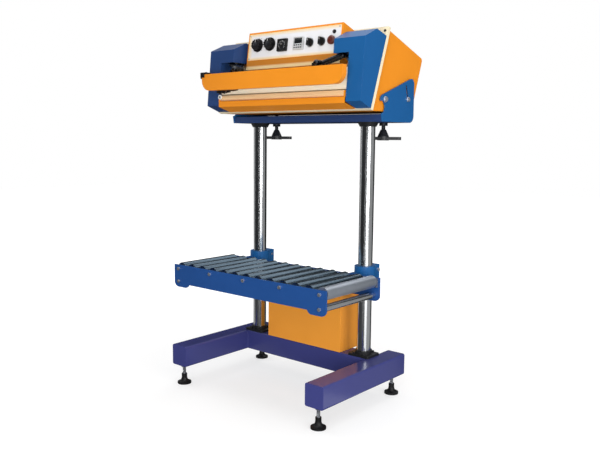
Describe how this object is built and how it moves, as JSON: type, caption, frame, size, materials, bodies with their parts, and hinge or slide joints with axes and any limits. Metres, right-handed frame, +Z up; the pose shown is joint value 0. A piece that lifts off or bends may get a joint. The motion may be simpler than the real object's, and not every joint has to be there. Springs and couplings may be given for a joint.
{
  "type": "impulse heat sealer",
  "caption": "Floor-standing bag sealer with an H-shaped base, chrome columns, a height-adjustable roller table and a tilting head whose front jaw closes on a fixed rear jaw.",
  "frame": {"origin": "middle of the overall box at floor level", "axes": "+X to the operator's right, +Y to the back of the machine, +Z up"},
  "size_m": [0.846, 0.6689, 1.5306],
  "materials": {
    "orange_paint": "smooth gloss enamel",
    "cover_blue": "smooth gloss enamel",
    "frame_blue": "smooth gloss enamel",
    "chrome": "hard chrome, ground and polished",
    "plated_steel": "zinc plated",
    "black_paint": "satin black",
    "black_plastic": "fine grained",
    "cream_paint": "smooth enamel",
    "silicone": "smooth silicone",
    "panel_white": "satin, printed",
    "red_plastic": "moulded",
    "release_cloth": "coated glass cloth",
    "bare_aluminium": "milled"
  },
  "bodies": {
    "frame": {"left_foot_beam": "frame_blue", "right_foot_beam": "frame_blue", "cross_beam": "frame_blue", "levelling_pads": "black_plastic", "levelling_screws": "plated_steel", "left_column": "chrome", "right_column": "chrome", "column_base_flanges": "black_paint", "flange_bolts": "black_paint", "column_top_collars": "black_paint", "bracket_tray": "cover_blue", "left_ear": "cover_blue", "right_ear": "cover_blue", "pivot_bolts": "plated_steel", "cabinet_shell": "orange_paint", "cabinet_rear_cover": "orange_paint"},
    "table": {"front_side_plate": "frame_blue", "rear_side_plate": "frame_blue", "roller_carriers": "plated_steel", "roller_axles": "plated_steel", "table_bolts": "plated_steel", "table_ties": "plated_steel", "table_clamps": "cover_blue"},
    "head": {"head_shell": "orange_paint", "head_front_pan": "cream_paint", "left_cover": "cover_blue", "right_cover": "cover_blue", "control_box": "orange_paint", "control_panel": "panel_white", "panel_meters": "black_plastic", "rear_jaw_bar": "bare_aluminium", "rear_seal_strip": "silicone", "cloth_roll": "release_cloth", "lower_front_cover": "orange_paint", "air_cylinders": "bare_aluminium", "tilt_lock_bolts": "plated_steel"},
    "front_jaw": {"front_jaw_cover": "orange_paint", "front_jaw_bar": "bare_aluminium", "heating_strip": "release_cloth", "jaw_arms": "black_paint"},
    "left_hand_knob": {"left_hand_knob": "black_plastic"},
    "right_hand_knob": {"right_hand_knob": "black_plastic"},
    "heat_dial": {"heat_dial": "black_plastic"},
    "cool_dial": {"cool_dial": "black_plastic"},
    "left_selector": {"left_selector": "black_plastic"},
    "right_selector": {"right_selector": "black_plastic"},
    "stop_button": {"stop_button": "red_plastic"},
    "roller_01": {"roller_01": "plated_steel"},
    "roller_02": {"roller_02": "plated_steel"},
    "roller_03": {"roller_03": "plated_steel"},
    "roller_04": {"roller_04": "plated_steel"},
    "roller_05": {"roller_05": "plated_steel"},
    "roller_06": {"roller_06": "plated_steel"},
    "roller_07": {"roller_07": "plated_steel"},
    "roller_08": {"roller_08": "plated_steel"},
    "roller_09": {"roller_09": "plated_steel"},
    "roller_10": {"roller_10": "plated_steel"},
    "roller_11": {"roller_11": "plated_steel"},
    "roller_12": {"roller_12": "plated_steel"},
    "roller_13": {"roller_13": "plated_steel"}
  },
  "joints": [
    {"name": "table_height", "type": "slide", "parent": "frame", "child": "table", "axis": [0, 0, 1], "range_m": [-0.22, 0.4]},
    {"name": "head_tilt", "type": "hinge", "parent": "frame", "child": "head", "pos_m": [0, 0.04754, 1.232], "axis": [1, 0, 0], "range_deg": [0, 18]},
    {"name": "jaw_close", "type": "slide", "parent": "head", "child": "front_jaw", "axis": [0, 1, 0], "range_m": [0, 0.0275]},
    {"name": "heat_dial_turn", "type": "hinge", "parent": "head", "child": "heat_dial", "pos_m": [-0.193, -0.03203, 1.47355], "axis": [0, -0.9903, 0.1392], "range_deg": [-135, 135]},
    {"name": "cool_dial_turn", "type": "hinge", "parent": "head", "child": "cool_dial", "pos_m": [-0.122, -0.03203, 1.47355], "axis": [0, -0.9903, 0.1392], "range_deg": [-135, 135]},
    {"name": "left_selector_turn", "type": "hinge", "parent": "head", "child": "left_selector", "pos_m": [0.097, -0.03343, 1.46365], "axis": [0, -0.9903, 0.1392], "range_deg": [-45, 45]},
    {"name": "right_selector_turn", "type": "hinge", "parent": "head", "child": "right_selector", "pos_m": [0.157, -0.03343, 1.46365], "axis": [0, -0.9903, 0.1392], "range_deg": [-45, 45]},
    {"name": "stop_press", "type": "slide", "parent": "head", "child": "stop_button", "axis": [0, 0.9903, -0.1392], "range_m": [0, 0.005], "stiffness_N_per_m": 500, "springref_m": -0.004},
    {"name": "left_hand_knob_turn", "type": "hinge", "parent": "frame", "child": "left_hand_knob", "pos_m": [-0.3, 0.20754, 1.1], "axis": [0, 0, 1], "range_deg": [-180, 180]},
    {"name": "right_hand_knob_turn", "type": "hinge", "parent": "frame", "child": "right_hand_knob", "pos_m": [0.3, 0.20754, 1.1], "axis": [0, 0, 1], "range_deg": [-180, 180]},
    {"name": "roller_01_spin", "type": "hinge", "parent": "table", "child": "roller_01", "pos_m": [-0.39, -0.14446, 0.513], "axis": [0, 1, 0], "continuous": true},
    {"name": "roller_02_spin", "type": "hinge", "parent": "table", "child": "roller_02", "pos_m": [-0.325, -0.14446, 0.513], "axis": [0, 1, 0], "continuous": true},
    {"name": "roller_03_spin", "type": "hinge", "parent": "table", "child": "roller_03", "pos_m": [-0.26, -0.14446, 0.513], "axis": [0, 1, 0], "continuous": true},
    {"name": "roller_04_spin", "type": "hinge", "parent": "table", "child": "roller_04", "pos_m": [-0.195, -0.14446, 0.513], "axis": [0, 1, 0], "continuous": true},
    {"name": "roller_05_spin", "type": "hinge", "parent": "table", "child": "roller_05", "pos_m": [-0.13, -0.14446, 0.513], "axis": [0, 1, 0], "continuous": true},
    {"name": "roller_06_spin", "type": "hinge", "parent": "table", "child": "roller_06", "pos_m": [-0.065, -0.14446, 0.513], "axis": [0, 1, 0], "continuous": true},
    {"name": "roller_07_spin", "type": "hinge", "parent": "table", "child": "roller_07", "pos_m": [0, -0.14446, 0.513], "axis": [0, 1, 0], "continuous": true},
    {"name": "roller_08_spin", "type": "hinge", "parent": "table", "child": "roller_08", "pos_m": [0.065, -0.14446, 0.513], "axis": [0, 1, 0], "continuous": true},
    {"name": "roller_09_spin", "type": "hinge", "parent": "table", "child": "roller_09", "pos_m": [0.13, -0.14446, 0.513], "axis": [0, 1, 0], "continuous": true},
    {"name": "roller_10_spin", "type": "hinge", "parent": "table", "child": "roller_10", "pos_m": [0.195, -0.14446, 0.513], "axis": [0, 1, 0], "continuous": true},
    {"name": "roller_11_spin", "type": "hinge", "parent": "table", "child": "roller_11", "pos_m": [0.26, -0.14446, 0.513], "axis": [0, 1, 0], "continuous": true},
    {"name": "roller_12_spin", "type": "hinge", "parent": "table", "child": "roller_12", "pos_m": [0.325, -0.14446, 0.513], "axis": [0, 1, 0], "continuous": true},
    {"name": "roller_13_spin", "type": "hinge", "parent": "table", "child": "roller_13", "pos_m": [0.39, -0.14446, 0.513], "axis": [0, 1, 0], "continuous": true}
  ]
}
